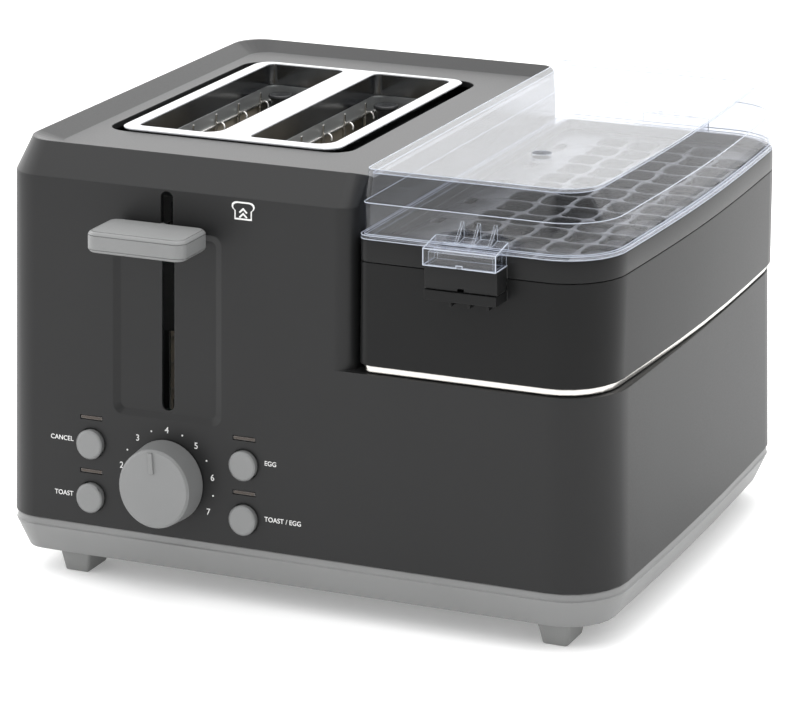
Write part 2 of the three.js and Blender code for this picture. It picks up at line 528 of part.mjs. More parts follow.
const ringPoints = [[RING_IN, -7], [RING_OUT, -7], [RING_OUT, 0], [RING_IN, 0], [RING_IN, -7]]
  .map(([r, z]) => new THREE.Vector2(r, z));
add("plate_heater", new THREE.LatheGeometry(ringPoints, 36).rotateX(Math.PI / 2)
  .translate(STEAM_X, DEPTH / 2, BASIN_Z - GAP), alloy);
add("plate_thermostat", upright(STEAM_X, DEPTH / 2, BASIN_Z - GAP - 10, BASIN_Z - GAP, 9, 24), dark);

// ---- Steaming vessel ----------------------------------------------------------------------
const VESSEL_WALL = 2.5;
const LEDGE_Z = 140; // ledge that carries the egg rack
const LEDGE = 4;
const tabSpan = [TAB_X - TAB_WIDTH / 2, TAB_X + TAB_WIDTH / 2];
// A lug on the front, with its twin on the back: block() limits with y counted out from the wall.
const lugs = (x0, x1, y0, y1, z0, z1) => [
  block(x0, x1, -y1, y0, z0, z1),
  block(x0, x1, DEPTH - y0, DEPTH + y1, z0, z1),
];
// A lug with a cross-section of its own, given as [y, z] corners, with the same twin.
const shapedLugs = (corners, x0, x1) => [
  web(corners, x0, x1),
  web(corners.map(([y, z]) => [DEPTH - y, z]), x0, x1),
];
const ribs = (foot, top, reach, start) => [-8, 0, 8].flatMap((dx) =>
  shapedLugs([[start, foot], [-reach, foot], [start, top]],
    TAB_X + 3.5 + dx - 0.7, TAB_X + 3.5 + dx + 0.7));
const VESSEL_TAB_Z = [154.2, 158.7];
const vesselOuter = join(
  stack([
    [steamerPlan(-VESSEL_FLARE, VESSEL_TAPER / 3, VESSEL_TAPER), VESSEL_Z],
    [steamerPlan(0), TRAY_Z - GAP / 2],
  ]),
  ...lugs(...tabSpan, VESSEL_INSET + 1, TAB_REACH - 0.6, ...VESSEL_TAB_Z));
const vesselHollows = [
  prism(steamerPlan(VESSEL_TAPER + 9), VESSEL_Z - 1, VESSEL_Z + 3),
  prism(steamerPlan(VESSEL_TAPER + VESSEL_WALL + LEDGE), VESSEL_Z + 2, LEDGE_Z + 1),
  prism(steamerPlan(VESSEL_TAPER + VESSEL_WALL), LEDGE_Z, TRAY_Z + 1),
];
add("steaming_vessel", less(vesselOuter, ...vesselHollows), charcoal);

// ---- Egg rack -----------------------------------------------------------------------------
const EGG_RADIUS = 0.14 * STEAMER_WIDTH;
const EGG_X = [-1, 1].map((side) => STEAM_X + 0.215 * side * STEAMER_WIDTH);
const EGG_Y = [-87, -29, 29, 87].map((dy) => DEPTH / 2 + dy);
const rackInset = VESSEL_TAPER + VESSEL_WALL + 0.6;
const rackPlate = solid(prism(steamerPlan(rackInset), LEDGE_Z + GAP, LEDGE_Z + GAP + 2));
const eggHoles = EGG_X.flatMap((x) => EGG_Y.map((y) =>
  upright(x, y, LEDGE_Z - 1, LEDGE_Z + 5, EGG_RADIUS, 24)));
add("egg_rack", less(rackPlate, ...eggHoles), dark);

// ---- Grid tray ----------------------------------------------------------------------------
const SKIRT = VESSEL_TAPER + VESSEL_WALL + 0.5;
const GRID_Z = [166.5, 169];
const GRID_COLUMNS = 5;
const GRID_ROWS = 12;
const GRID_X = [VESSEL_X0 + 0.22 * STEAMER_WIDTH, WIDTH - VESSEL_BOW - 9.5];
const GRID_Y = [13, DEPTH - 13];
const GRID_BAR = 3;
const TRAY_TAB_TOP = 169.3;
const LUG_CLEAR = VESSEL_INSET - GAP; // a lug hangs this close to the piece below it
const trayBody = join(
  prism(steamerPlan(0), TRAY_Z + GAP / 2, LID_Z - GAP / 2),
  prism(steamerPlan(SKIRT), TRAY_Z - 5, TRAY_Z + 1),
  ...lugs(...tabSpan, VESSEL_INSET + 1, TAB_REACH - 0.6, TRAY_Z + GAP, TRAY_TAB_TOP),
  ...lugs(...tabSpan, LUG_CLEAR, TAB_REACH - 0.6, VESSEL_TAB_Z[1] + GAP, TRAY_TAB_TOP));
const trayHollows = [
  prism(steamerPlan(2.6), GRID_Z[1], LID_Z + 1),
  prism(steamerPlan(SKIRT + 1.8), TRAY_Z - 6, GRID_Z[0]),
  ...lugs(tabSpan[0] + 2, tabSpan[1] - 2, -1, TAB_REACH - 2.6, VESSEL_TAB_Z[1], 167.3),
];
const gridHoles = [];
for (let i = 0; i < GRID_COLUMNS; i++)
  for (let j = 0; j < GRID_ROWS; j++) {
    const dx = (GRID_X[1] - GRID_X[0]) / GRID_COLUMNS;
    const dy = (GRID_Y[1] - GRID_Y[0]) / GRID_ROWS;
    const x = GRID_X[0] + i * dx;
    const y = GRID_Y[0] + j * dy;
    if (i === GRID_COLUMNS - 1 && (j === 0 || j === GRID_ROWS - 1)) continue;
    gridHoles.push(block(x + GRID_BAR / 2, x + dx - GRID_BAR / 2, y + GRID_BAR / 2,
      y + dy - GRID_BAR / 2, GRID_Z[0] - 1, GRID_Z[1] + 1));
  }
add("grid_tray", less(trayBody, ...trayHollows, ...gridHoles), charcoal);

// ---- Lid ----------------------------------------------------------------------------------
const LID_IN = 1.5; // wall inside the flange
const LID_CHAMFER = 4.5; // the top is smaller than the wall by this, front and back
const LID_CHAMFER_RIGHT = 7.3;
const LID_TAB_Z = [TRAY_TAB_TOP + GAP, 177.2];
const LID_TAB_RISE = 2.6; // its top slopes up to the wall
const LID_FOOT = VESSEL_INSET + LID_IN + 0.6; // how deep the tab is joined to the wall
const VENT_RADIUS = 4.5;
const VENT_Y = [-64.5, 42.5].map((dy) => DEPTH / 2 + dy);
const VENT_X = STEAM_X + 2.5;
const lidOuter = join(
  stack([
    [steamerPlan(0), LID_Z + GAP / 2],
    [steamerPlan(0), LID_Z + LID_FLANGE],
    [steamerPlan(LID_IN), LID_Z + LID_FLANGE],
    [steamerPlan(LID_IN), LID_SHOULDER_Z],
    [steamerPlan(LID_IN, LID_IN + LID_CHAMFER, LID_IN + LID_CHAMFER_RIGHT, 19, 4), LID_TOP_Z],
  ]),
  ...shapedLugs([[LID_FOOT, LID_Z + GAP], [-TAB_REACH, LID_Z + GAP], [-TAB_REACH, LID_TAB_Z[1]],
    [LID_FOOT, LID_TAB_Z[1] + LID_TAB_RISE]], ...tabSpan),
  ...lugs(...tabSpan, LUG_CLEAR, TAB_REACH, ...LID_TAB_Z),
  ...ribs(LID_TAB_Z[1] + 0.5, LID_TAB_Z[1] + 10, 7, LID_FOOT));
const lidHollow = stack([
  [steamerPlan(LID_IN + LID_WALL), LID_Z - 1],
  [steamerPlan(LID_IN + LID_WALL), LID_SHOULDER_Z - 0.6],
  [steamerPlan(LID_IN + LID_WALL, LID_IN + LID_CHAMFER + 1.5,
    LID_IN + LID_CHAMFER_RIGHT + 1.5, 17.5, 2), LID_TOP_Z - LID_WALL],
]);
const lidTabHollow = lugs(tabSpan[0] + 1.8, tabSpan[1] - 1.8, -0.6, TAB_REACH - 1.8,
  LID_TAB_Z[0] - 1, LID_TAB_Z[1] - 1.8);
const vents = VENT_Y.map((y) => upright(VENT_X, y, LID_TOP_Z - 5, LID_TOP_Z + 1, VENT_RADIUS, 20));
add("lid", less(lidOuter, lidHollow, ...lidTabHollow, ...vents), clear);

export default appliance;
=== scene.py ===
# A wide-slot toaster joined to a steamer for eggs and muffins, dressed piece by piece.
import math

import bmesh
import bpy
from mathutils import Matrix, Vector


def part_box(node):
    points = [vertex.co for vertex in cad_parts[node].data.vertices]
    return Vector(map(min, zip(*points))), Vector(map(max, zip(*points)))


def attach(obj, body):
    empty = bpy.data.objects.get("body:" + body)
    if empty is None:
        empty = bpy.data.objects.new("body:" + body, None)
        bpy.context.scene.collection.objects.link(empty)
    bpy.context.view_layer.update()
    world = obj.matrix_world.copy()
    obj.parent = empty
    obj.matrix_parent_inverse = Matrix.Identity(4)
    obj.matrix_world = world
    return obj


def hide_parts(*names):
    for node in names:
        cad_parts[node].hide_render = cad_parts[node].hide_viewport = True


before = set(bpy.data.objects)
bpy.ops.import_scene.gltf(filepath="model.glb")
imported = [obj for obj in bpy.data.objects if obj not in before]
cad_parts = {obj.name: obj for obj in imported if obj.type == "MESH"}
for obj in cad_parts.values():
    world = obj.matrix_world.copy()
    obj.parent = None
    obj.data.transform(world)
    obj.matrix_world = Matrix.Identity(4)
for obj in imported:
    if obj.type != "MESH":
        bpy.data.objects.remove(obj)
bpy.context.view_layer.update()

MM = 0.001

# ---- Camera -------------------------------------------------------------------------------
# A long lens at standing height, a little to the right of the front. Its film plane is kept
# upright, as a view camera's is, so that the upright edges stay parallel.
CAMERA_PLACE = Vector((0.76495, -1.7619, 0.6457))
CAMERA_TURN = math.radians(23.52)
CAMERA_TIP = math.radians(16.25)
LENS_LENGTH, FILM_WIDTH = 187.02, 36
lens_data = bpy.data.cameras.new("camera")
lens_data.lens = LENS_LENGTH
lens_data.sensor_width = FILM_WIDTH
lens_data.sensor_fit = "HORIZONTAL"
lens_data.clip_start, lens_data.clip_end = 0.1, 20
camera = bpy.data.objects.new("camera", lens_data)
stand = bpy.data.objects.new("camera_stand", None)
for thing in (camera, stand):
    bpy.context.collection.objects.link(thing)
across = Vector((math.cos(CAMERA_TURN), math.sin(CAMERA_TURN), 0))
ahead = Vector((-math.sin(CAMERA_TURN) * math.cos(CAMERA_TIP),
                math.cos(CAMERA_TURN) * math.cos(CAMERA_TIP), -math.sin(CAMERA_TIP)))
film = Matrix.Identity(4)
for column, axis in enumerate((across, Vector((0, 0, 1)), -ahead, CAMERA_PLACE)):
    film.col[column][:3] = axis
camera.parent = stand
camera.matrix_parent_inverse = film
bpy.context.scene.camera = camera

# ---- Base pan -----------------------------------------------------------------------------
# The shallow pan that closes the bottom is mid-grey ABS, moulded with a fine even grain. Its
# sides draw in to the bottom, and a set-back band leaves a dark line under the housing.
GREY = (0.2, 0.202, 0.201)


def edge_finder(new, wire, radius, samples):
    """The direction rounded over at the edges, and how well it agrees with the flat one."""
    soft = new("ShaderNodeBevel")
    soft.samples = samples
    soft.inputs["Radius"].default_value = radius
    bare = new("ShaderNodeNewGeometry")
    turned = new("ShaderNodeVectorMath")
    turned.operation = "DOT_PRODUCT"
    wire(soft.outputs["Normal"], turned.inputs[0])
    wire(bare.outputs["Normal"], turned.inputs[1])
    return soft, turned


def make_finish(name, colour, roughness, metallic=0.0, grain=0.0008, depth=0.00003,
                brush=(1, 1, 1), patchy=0.08, edge_highlight=0.25, cast=0.12, shine=0.5):
    """A solid colour with its grain, its faint patches and its edges painted paler as a
    highlight.
    """
    made = bpy.data.materials.new(name)
    made.use_nodes = True
    new, wire = made.node_tree.nodes.new, made.node_tree.links.new
    shader = made.node_tree.nodes["Principled BSDF"]
    shader.inputs["Metallic"].default_value = metallic
    shader.inputs["Specular IOR Level"].default_value = shine
    place = new("ShaderNodeTexCoord")
    along = new("ShaderNodeMapping")
    along.inputs["Scale"].default_value = brush
    wire(place.outputs["Object"], along.inputs["Vector"])

    patches = new("ShaderNodeTexNoise")
    patches.inputs["Scale"].default_value = 24
    patches.inputs["Detail"].default_value = 5
    wire(place.outputs["Object"], patches.inputs["Vector"])
    tone = new("ShaderNodeMix")
    tone.data_type = "RGBA"
    tone.inputs[6].default_value = (*[c * (1 - patchy) for c in colour], 1)
    tone.inputs[7].default_value = (*[min(c * (1 + patchy), 1) for c in colour], 1)
    wire(patches.outputs["Fac"], tone.inputs[0])

    # Every edge is painted up to 30% paler towards white, as a painted edge highlight.
    soft, turned = edge_finder(new, wire, 0.0007, 4)
    painted_edge_mask = new("ShaderNodeMapRange")
    painted_edge_mask.inputs["From Min"].default_value = 0.985
    painted_edge_mask.inputs["From Max"].default_value = 0.8
    painted_edge_mask.inputs["To Max"].default_value = edge_highlight
    wire(turned.outputs["Value"], painted_edge_mask.inputs["Value"])
    skin = new("ShaderNodeMix")
    skin.data_type = "RGBA"
    skin.inputs[7].default_value = (*[c + (1 - c) * 0.3 for c in colour], 1)
    wire(painted_edge_mask.outputs["Result"], skin.inputs[0])
    wire(tone.outputs[2], skin.inputs[6])
    wire(skin.outputs[2], shader.inputs["Base Color"])

    grains = new("ShaderNodeTexNoise")
    grains.inputs["Scale"].default_value = 1 / grain
    grains.inputs["Detail"].default_value = 3
    wire(along.outputs["Vector"], grains.inputs["Vector"])
    gloss = new("ShaderNodeMapRange")
    gloss.inputs["To Min"].default_value = roughness * (1 - cast)
    gloss.inputs["To Max"].default_value = roughness * (1 + cast)
    wire(grains.outputs["Fac"], gloss.inputs["Value"])
    wire(gloss.outputs["Result"], shader.inputs["Roughness"])
    relief = new("ShaderNodeBump")
    relief.inputs["Strength"].default_value = 0.35
    relief.inputs["Distance"].default_value = depth
    wire(grains.outputs["Fac"], relief.inputs["Height"])
    wire(soft.outputs["Normal"], relief.inputs["Normal"])
    wire(relief.outputs["Normal"], shader.inputs["Normal"])
    return made


def crease_tool(angle):
    """Marks the edges that turn by more than the angle as sharp, and leaves the rest smooth."""
    tool = bpy.data.node_groups.new("creases", "GeometryNodeTree")
    for way_in in ("INPUT", "OUTPUT"):
        tool.interface.new_socket("Geometry", in_out=way_in,
                                  socket_type="NodeSocketGeometry")
    new, wire = tool.nodes.new, tool.links.new
    come, go = new("NodeGroupInput"), new("NodeGroupOutput")
    bend, over = new("GeometryNodeInputMeshEdgeAngle"), new("FunctionNodeCompare")
    over.operation = "GREATER_THAN"
    over.inputs[1].default_value = angle
    split = new("GeometryNodeSetShadeSmooth")
    split.domain = "EDGE"
    split.inputs["Shade Smooth"].default_value = False
    wire(bend.outputs["Unsigned Angle"], over.inputs[0])
    wire(come.outputs[0], split.inputs["Geometry"])
    wire(over.outputs[0], split.inputs["Selection"])
    wire(split.outputs["Geometry"], go.inputs[0])
    return tool


creases = crease_tool(math.radians(17))


def dress(node, finish, edge=0.35 * MM, turn=38, steps=2):
    """Gives a CAD piece its finish, and breaks its sharp edges as the mould or the press does."""
    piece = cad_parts[node]
    for place in piece.material_slots:
        place.material = finish
    piece.data.shade_smooth()
    weld = piece.modifiers.new("weld", "WELD")
    weld.merge_threshold = 0.005 * MM
    if edge:
        flats = piece.modifiers.new("flats", "DECIMATE")
        flats.decimate_type = "DISSOLVE"
        flats.angle_limit = math.radians(0.4)
        rounds = piece.modifiers.new("rounds", "BEVEL")
        rounds.width = edge
        rounds.segments = steps
        rounds.limit_method = "ANGLE"
        rounds.angle_limit = math.radians(turn)
        rounds.use_clamp_overlap = False
        rounds.miter_outer = "MITER_ARC"
    sharp = piece.modifiers.new("creases", "NODES")
    sharp.node_group = creases
    even = piece.modifiers.new("even", "WEIGHTED_NORMAL")
    even.keep_sharp = True
    return piece


grey_plastic = make_finish("grey_moulded_plastic", GREY, 0.42, edge_highlight=0.2)
dress("base_pan", grey_plastic, 0.5 * MM)

# ---- Feet and base screws -----------------------------------------------------------------
# Four tapered feet in a softer, duller grey plug into the pan. Four plated screws beside them
# hold the pan to the housing from below.
foot_plastic = make_finish("foot_rubber", (0.2, 0.203, 0.2), 0.6, depth=0.00005, edge_highlight=0.3)
screw_steel = make_finish("plated_screw", (0.5, 0.5, 0.49), 0.32, 1.0, edge_highlight=0.1)
for row in ("front", "rear"):
    for side in ("left", "right"):
        dress(f"foot_{row}_{side}", foot_plastic, 0.8 * MM, steps=3)
        dress(f"base_screw_{row}_{side}", screw_steel, 0.3 * MM)

# ---- Heating plate ------------------------------------------------------------------------
# A pressed stainless sheet over the steamer half of the base, with a basin for the water. Its
# rim shows as a bright line under the vessel. The cast heater ring is clamped under the basin.
STEEL = (0.66, 0.64, 0.61)
plate_steel = make_finish("bright_stainless_sheet", STEEL, 0.2, 1.0, 0.0006, 0.00001,
                          (1, 22, 1), edge_highlight=0.1, cast=0.3)
dress("heating_plate", plate_steel, 0.4 * MM)
dress("plate_heater", make_finish("cast_alloy", (0.42, 0.42, 0.42), 0.5, 1.0, 0.002, 0.0001))
dress("plate_thermostat", make_finish("dark_phenolic", (0.03, 0.03, 0.032), 0.5))

# ---- Toasting chamber ---------------------------------------------------------------------
# Galvanised sheet walls stand round the two slots. Boards of mica carry the heater wire, and
# spring-wire guards with their ends hooked over hold the bread away from it.
ZINC = (0.42, 0.435, 0.44)
zinc_sheet = make_finish("galvanised_sheet", ZINC, 0.4, 0.6, 0.009, 0.00004, patchy=0.3,
                         edge_highlight=0.35, cast=0.3)
mica_board = make_finish("mica_board", (0.36, 0.32, 0.26), 0.55, 0.0, 0.004, 0.0001,
                         (1, 1, 3), patchy=0.35, edge_highlight=0.3)
bright_wire = make_finish("bright_wire", (0.7, 0.69, 0.66), 0.22, 1.0, edge_highlight=0)
heater_wire = make_finish("heater_ribbon", (0.36, 0.34, 0.32), 0.4, 1.0, edge_highlight=0)
for node in ("end_plate_front", "end_plate_rear", "side_plate_left", "side_plate_right"):
    dress(node, zinc_sheet, 0.3 * MM)
for side in ("left", "middle", "right"):
    dress(f"heater_board_{side}", mica_board, 0.2 * MM)


def add_piece(name, mesh, finish, body, smooth=35):
    """Puts a finished mesh on a body of the frame, smooth but for its real edges."""
    piece = bpy.data.objects.new(name, mesh)
    bpy.context.collection.objects.link(piece)
    mesh.materials.clear()
    mesh.materials.append(finish)
    mesh.shade_smooth()
    mesh.set_sharp_from_angle(angle=math.radians(smooth))
    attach(piece, body)
    return piece


def merged(meshes):
    """One mesh out of several."""
    whole = bmesh.new()
    for mesh in meshes:
        whole.from_mesh(mesh)
    bmesh.ops.remove_doubles(whole, verts=whole.verts, dist=0.002 * MM)
    out = bpy.data.meshes.new("whole")
    whole.to_mesh(out)
    whole.free()
    return out


def bent_wire(paths, radius, closed=False):
    """Round wire along each path of points, with its ends closed."""
    curve = bpy.data.curves.new("wire", "CURVE")
    curve.dimensions = "3D"
    curve.bevel_depth = radius
    curve.bevel_resolution = 2
    curve.use_fill_caps = True
    for path in paths:
        line = curve.splines.new("POLY")
        line.points.add(len(path) - 1)
        for point, at in zip(line.points, path):
            point.co = (*at, 1)
        line.use_cyclic_u = closed
    holder = bpy.data.objects.new("wire", curve)
    return merged([bpy.data.meshes.new_from_object(holder)])


WIRE_ROWS = 9
WIRE_RADIUS = 0.3 * MM
BOARD_ENDS, BOARD_SIDES = 10 * MM, 6 * MM  # bare mica above and below, and at each side
for side in ("left", "middle", "right"):
    low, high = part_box(f"heater_board_{side}")
    winding = []
    pitch = (high.z - low.z - 2 * BOARD_ENDS) / WIRE_ROWS
    for row in range(WIRE_ROWS):
        z = low.z + BOARD_ENDS + row * pitch
        near, far = low.y + BOARD_SIDES, high.y - BOARD_SIDES
        left, right = low.x - WIRE_RADIUS, high.x + WIRE_RADIUS
        winding += [(left, near, z), (left, far, z), (right, far, z + pitch / 2),
                    (right, near, z + pitch / 2)]
    add_piece(f"heater_wire_{side}", bent_wire([winding], WIRE_RADIUS), heater_wire, "base")

HOOKS = 6
HOOK_RADIUS, HOOK_WIRE = 2.5 * MM, 0.6 * MM
HOOK_ENDS, HOOK_DROP = 12 * MM, 7 * MM  # first hook in from the guard's end, and below its top
for slot in ("left", "right"):
    for place in ("outer", "inner"):
        node = f"bread_guard_{slot}_{place}"
        dress(node, bright_wire, 0.25 * MM)
        low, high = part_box(node)
        out = -1 if (slot == "left") == (place == "outer") else 1
        hooks = []
        for k in range(HOOKS):
            y = low.y + HOOK_ENDS + k * (high.y - low.y - 2 * HOOK_ENDS) / (HOOKS - 1)
            middle = Vector(((low.x + high.x) / 2 - out * HOOK_RADIUS, y, high.z - HOOK_DROP))
            hooks.append([middle + HOOK_RADIUS * Vector((
                out * math.cos(a), 0.35 * math.sin(a), math.sin(a)))
                for a in [math.radians(18 * n - 20) for n in range(13)]])
        add_piece(f"guard_hooks_{slot}_{place}", bent_wire(hooks, HOOK_WIRE), bright_wire,
                  "base")

# ---- Slot throats -------------------------------------------------------------------------
# Under each slot a pressed zinc throat guides the bread, with a bright rolled bead round its
# lower edge. A dark ceramic bush stands in its far left corner, over the board's hanger.
SLOT_WIDE, SLOT_BAR = 42 * MM, 17 * MM
frame_low, frame_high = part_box("slot_frame")
slot_middle = (frame_low.x + frame_high.x) / 2
slot_ends = (frame_low.y + 8.5 * MM, frame_high.y - 4 * MM)
lip = frame_low.z
THROAT = 8 * MM
THROAT_CORNERS = (4 * MM, 9 * MM, 6 * MM, 6 * MM)
BEAD_OUT, BEAD_RADIUS = 1.4 * MM, 0.8 * MM
bush_ceramic = make_finish("dark_ceramic", (0.03, 0.031, 0.033), 0.25, edge_highlight=0.5)


def rounded_loop(x0, x1, y0, y1, radii, steps=6):
    """Points round a rectangle with its own radius at each corner, front left first."""
    loop = []
    for k, (x, y, sx, sy) in enumerate(((x0, y0, 1, 1), (x1, y0, -1, 1),
                                        (x1, y1, -1, -1), (x0, y1, 1, -1))):
        r = radii[k]
        for n in range(steps + 1):
            a = math.pi + k * math.pi / 2 + n / steps * math.pi / 2
            loop.append((x + sx * r + r * math.cos(a), y + sy * r + r * math.sin(a)))
    return loop


def swept(rings, closed_ends=False):
    """A skin through rings of points, one after the other, each with the same count."""
    skin = bmesh.new()
    rows = [[skin.verts.new(p) for p in ring] for ring in rings]
    count = len(rings[0])
    for a, b in zip(rows, rows[1:]):
        for k in range(count):
            skin.faces.new((a[k], a[(k + 1) % count], b[(k + 1) % count], b[k]))
    if closed_ends:
        skin.faces.new(reversed(rows[0]))
        skin.faces.new(rows[-1])
    bmesh.ops.recalc_face_normals(skin, faces=skin.faces)
    out = bpy.data.meshes.new("swept")
    skin.to_mesh(out)
    skin.free()
    return out


for slot, side in (("left", -1), ("right", 1)):
    x = slot_middle + side * (SLOT_BAR + SLOT_WIDE) / 2
    rings = []
    for grow, z in ((0.6, lip - 0.3 * MM), (1.0, lip - 4 * MM), (1.9, lip - THROAT),
                    (2.5, lip - THROAT), (1.6, lip - 4 * MM), (1.2, lip - 0.3 * MM),
                    (0.6, lip - 0.3 * MM)):
        grow *= MM
        rings.append([(*p, z) for p in rounded_loop(
            x - SLOT_WIDE / 2 - grow, x + SLOT_WIDE / 2 + grow, slot_ends[0] - grow,
            slot_ends[1] + min(grow, 1.1 * MM), THROAT_CORNERS)])
    add_piece(f"slot_throat_{slot}", swept(rings), zinc_sheet, "base")
    bead = [(*p, lip - THROAT) for p in rounded_loop(
        x - SLOT_WIDE / 2 - BEAD_OUT, x + SLOT_WIDE / 2 + BEAD_OUT, slot_ends[0] - BEAD_OUT,
        slot_ends[1] + 0.3 * MM, THROAT_CORNERS)]
    add_piece(f"throat_bead_{slot}", bent_wire([bead], BEAD_RADIUS, True), bright_wire, "base")
    turned = [(0.1, -16), (5.5, -16), (6.6, -15.4), (6.6, -13), (5.2, -12.4), (5.2, -5),
              (6.2, -4.4), (6.4, -3.4), (5.8, -2.6), (0.1, -2.4)]
    bush = swept([[(x - 12 * MM + r * MM * math.cos(a), slot_ends[1] - 7.2 * MM
                    + r * MM * math.sin(a), lip + z * MM)
                   for a in [2 * math.pi * n / 32 for n in range(32)]] for r, z in turned],
                 True)
    add_piece(f"board_bush_{slot}", bush, bush_ceramic, "base", 50)

# ---- Crumb tray ---------------------------------------------------------------------------
# A folded zinc tray slides in from the back on the two rails of the base pan, and is pulled
# out by the turned-up lip across its end.
dress("crumb_tray", zinc_sheet, 0.4 * MM)

# ---- Lever mechanism ----------------------------------------------------------------------
# A dark nylon block runs on a ground steel rod behind the front wall, hung from a coil spring.
# It carries the zinc beam and the two wire bread racks down to the latch magnet.
for node in ("lever_arm", "guide_rod", "bread_rack_left", "bread_rack_right"):
    dress(node, plate_steel, 0.3 * MM)
dress("carriage_spring", bright_wire, 0.05 * MM)
dress("carriage_beam", zinc_sheet, 0.3 * MM)
nylon = make_finish("black_nylon", (0.018, 0.018, 0.019), 0.45)
for node in ("carriage_bracket", "latch_magnet"):
    dress(node, nylon, 0.5 * MM)

# ---- Control board and lenses -------------------------------------------------------------
# A green fibreglass board behind the front wall holds the four switches and the browning
# control. A small smoked lens over each button lights when its program runs.
board_green = make_finish("circuit_board", (0.03, 0.1, 0.045), 0.4, 0.0, 0.003, 0.00003,
                          patchy=0.25)
dress("control_board", board_green, 0.1 * MM)
dress("browning_control", nylon, 0.4 * MM)
smoked = make_finish("smoked_lens", (0.035, 0.022, 0.014), 0.12, 0.0, 0.0025, 0.00006,
                     (1, 1, 1), patchy=0.5, edge_highlight=0.9, cast=0.4)
for button in ("cancel", "toast", "egg", "toast_egg"):
    dress(f"lens_{button}", smoked, 0.2 * MM)

# ---- Housing ------------------------------------------------------------------------------
# One charcoal ABS moulding makes the toaster body and the lower steamer body. Its spark-eroded
# mould leaves a satin grain, and the edges of the front chamfer are softly rounded.
CHARCOAL = (0.0125, 0.0127, 0.013)
charcoal_plastic = make_finish("charcoal_moulded_plastic", CHARCOAL, 0.43, patchy=0.1,
                               edge_highlight=0.07, shine=0.28)
dress("body_shell", charcoal_plastic, 0)

# ---- Printing on the front ----------------------------------------------------------------
# The words by the buttons, the browning numbers and the slice over the lever are pad-printed
# in white ink straight on the housing.
white_ink = make_finish("white_ink", (0.86, 0.86, 0.85), 0.5, patchy=0.04, edge_highlight=0,
                        grain=0.0003, depth=0.00001)
body_low, body_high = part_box("body_shell")
knob_low, knob_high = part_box("browning_knob")
dial_x = (knob_low.x + knob_high.x) / 2
dial_z = (knob_low.z + knob_high.z) / 2
INK = 0.04 * MM
LETTER = 3.05 * MM
to_front = Matrix.Translation((0, body_low.y - INK, 0)) @ Matrix.Rotation(
    math.pi / 2, 4, "X")


def printed_word(text, x, z, align, size=LETTER):
    """A word or number as a film of ink standing on the front wall."""
    curve = bpy.data.curves.new("word", "FONT")
    curve.body = text
    curve.size = size
    curve.space_character = 1.02
    curve.align_x, curve.align_y = align, "CENTER"
    curve.extrude = INK
    curve.offset = 0.03 * MM
    word = bpy.data.meshes.new_from_object(bpy.data.objects.new("word", curve))
    word.transform(to_front @ Matrix.Translation((x, z, 0)))
    return word


def printed_shape(outlines):
    """Filled outlines, each a list of places across and up the front wall."""
    curve = bpy.data.curves.new("shape", "CURVE")
    curve.dimensions = "2D"
    curve.fill_mode = "BOTH"
    curve.extrude = INK
    for outline in outlines:
        line = curve.splines.new("POLY")
        line.points.add(len(outline) - 1)
        for point, (x, z) in zip(line.points, outline):
            point.co = (x, z, 0, 1)
        line.use_cyclic_u = True
    shape = bpy.data.meshes.new_from_object(bpy.data.objects.new("shape", curve))
    shape.transform(to_front)
    return shape


left_words, right_words = dial_x - 48.6 * MM, dial_x + 49.7 * MM
ink = [
    printed_word("CANCEL", left_words, dial_z + 13.1 * MM, "RIGHT"),
    printed_word("TOAST", left_words, dial_z - 12.4 * MM, "RIGHT"),
    printed_word("EGG", right_words, dial_z + 14.2 * MM, "LEFT"),
    printed_word("TOAST / EGG", right_words, dial_z - 11.2 * MM, "LEFT"),
]
RING = 23.9 * MM
NUMBER_STEP = 39  # degrees from one number to the next
DOT = 0.42 * MM
ring_z = dial_z - 0.8 * MM
for number in range(1, 8):
    turn = math.radians(NUMBER_STEP * (number - 4))
    ink.append(printed_word(str(number), dial_x + RING * math.sin(turn),
                            ring_z + RING * math.cos(turn), "CENTER", 4.1 * MM))
    if number < 7:
        turn += math.radians(NUMBER_STEP / 2)
        x, z = dial_x + RING * math.sin(turn), ring_z + RING * math.cos(turn)
        ink.append(printed_shape([[(x + DOT * math.cos(a), z + DOT * math.sin(a))
                                   for a in [math.pi * n / 8 for n in range(16)]]]))

# The slice: a crusted outline with two chevrons rising in it, over the right of the lever.
slice_x, slice_z = dial_x + 39 * MM, body_high.z - 19.2 * MM
crust = [(-4.4, -4), (4.4, -4), (4.4, 0.2), (5.4, 0.9), (5.9, 2), (5.6, 3.2), (4.6, 4),
         (3.2, 4.3), (-3.2, 4.3), (-4.6, 4), (-5.6, 3.2), (-5.9, 2), (-5.4, 0.9), (-4.4, 0.2)]
crumb = [(x * 0.86, z * 0.82 + 0.02) for x, z in crust]
ink.append(printed_shape([[(slice_x + x * MM, slice_z + z * MM) for x, z in outline]
                          for outline in (crust, crumb)]))
for rise in (-2.7, -0.5):
    chevron = [(-2.2, 0), (-1.6, -0.5), (0, 1), (1.6, -0.5), (2.2, 0), (0, 2.1)]
    ink.append(printed_shape([[(slice_x + x * MM, slice_z + (z + rise) * MM)
                               for x, z in chevron]]))
add_piece("front_printing", merged(ink), white_ink, "base")

# ---- Slot frame ---------------------------------------------------------------------------
# One polished plate round both slots, its edges turned down, clips into the sunk deck and
# leaves a dark gap round itself.
polished = make_finish("polished_plate", (0.27, 0.275, 0.285), 0.17, 1.0, 0.0008, 0.000004,
                       (1, 30, 1), patchy=0.02, edge_highlight=0.1, cast=0.4)
dress("slot_frame", polished, 0.45 * MM, 30, 3)

# ---- Lever handle -------------------------------------------------------------------------
# A grey paddle with well-rounded edges is pressed onto the end of the lever's steel arm.
control_grey = make_finish("grey_control_plastic", (0.195, 0.198, 0.198), 0.45, edge_highlight=0.12)
dress("lever_handle", control_grey, 1.3 * MM, 25, 4)

